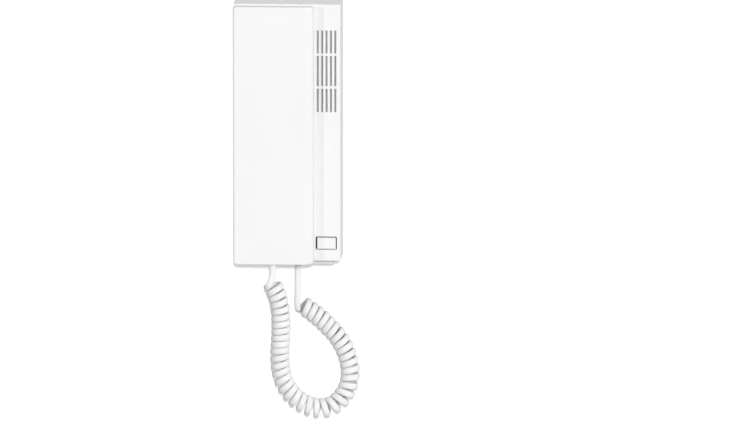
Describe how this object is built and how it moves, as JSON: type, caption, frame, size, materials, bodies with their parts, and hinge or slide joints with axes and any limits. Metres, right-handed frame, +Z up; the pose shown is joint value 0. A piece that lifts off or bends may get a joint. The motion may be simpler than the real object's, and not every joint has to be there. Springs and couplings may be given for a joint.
{
  "type": "wall audio intercom",
  "caption": "White wall audio intercom: a long flat handset seated in a cradle, a narrow column with a slotted grille and a door button beside it, and a curly cord hanging in a loop below.",
  "frame": {"origin": "middle of the two wall screw holes, on the wall plane at the back of the plate", "axes": "+Z up along the handset, -Y out of the wall towards the user, +X to the user's right, towards the column with the button"},
  "size_m": [0.1021, 0.042, 0.3395],
  "materials": {
    "white_plastic": "satin moulded white",
    "plate_plastic": "matt moulded white",
    "board": "green solder mask",
    "terminal_plastic": "moulded green",
    "steel": "zinc plated",
    "dark_cloth": "black acoustic cloth",
    "pale_cloth": "white acoustic cloth",
    "ferrite": "sintered",
    "dark_plastic": "moulded black",
    "red_plastic": "moulded red",
    "grey_plastic": "moulded grey",
    "pale_rubber": "soft white",
    "dark_rubber": "soft black",
    "aluminium": "drawn",
    "white_cord": "smooth white jacket"
  },
  "bodies": {
    "base": {"back_plate": "plate_plastic", "front_cover": "white_plastic", "main_board": "board", "board_screws": "steel", "terminal_block": "terminal_plastic", "terminal_screws": "steel", "speaker_frame": "steel", "speaker_cone": "dark_cloth", "speaker_magnet": "ferrite", "grille_cloth": "pale_cloth", "hook_pin": "steel", "hook_spring": "steel", "hook_switch": "dark_plastic", "door_switch": "dark_plastic", "cover_screw": "steel", "base_gland": "pale_rubber", "curly_cord": "white_cord"},
    "handset": {"handset_front": "white_plastic", "handset_back": "white_plastic", "receiver_capsule": "grey_plastic", "receiver_diaphragm": "aluminium", "receiver_gasket": "dark_rubber", "mic_capsule": "aluminium", "mic_boot": "dark_rubber", "handset_screws": "steel", "handset_gland": "pale_rubber"},
    "hook_lever": {"hook_lever": "white_plastic"},
    "hook_plunger": {"hook_plunger": "red_plastic"},
    "door_button": {"door_button": "white_plastic", "door_plunger": "grey_plastic"}
  },
  "joints": [
    {"name": "handset_lift", "type": "slide", "parent": "base", "child": "handset", "axis": [0, -0.866, 0.5], "range_m": [0, 0.04], "deforming": ["curly_cord"]},
    {"name": "hook_lever_pivot", "type": "hinge", "parent": "base", "child": "hook_lever", "pos_m": [-0.01645, -0.0092, 0.0235], "axis": [1, 0, 0], "range_deg": [0, 16], "deforming": ["hook_spring"]},
    {"name": "hook_plunger_travel", "type": "slide", "parent": "base", "child": "hook_plunger", "axis": [0, 1, 0], "range_m": [0, 0.0006]},
    {"name": "door_button_press", "type": "slide", "parent": "base", "child": "door_button", "axis": [0, 1, 0], "range_m": [0, 0.0015], "stiffness_N_per_m": 1000, "springref_m": -0.0005}
  ],
  "couplings": [
    {"joint": "hook_lever_pivot", "follows": "handset_lift", "rad_per_m": 6.98},
    {"joint": "hook_plunger_travel", "follows": "handset_lift", "ratio": 0.0149}
  ]
}
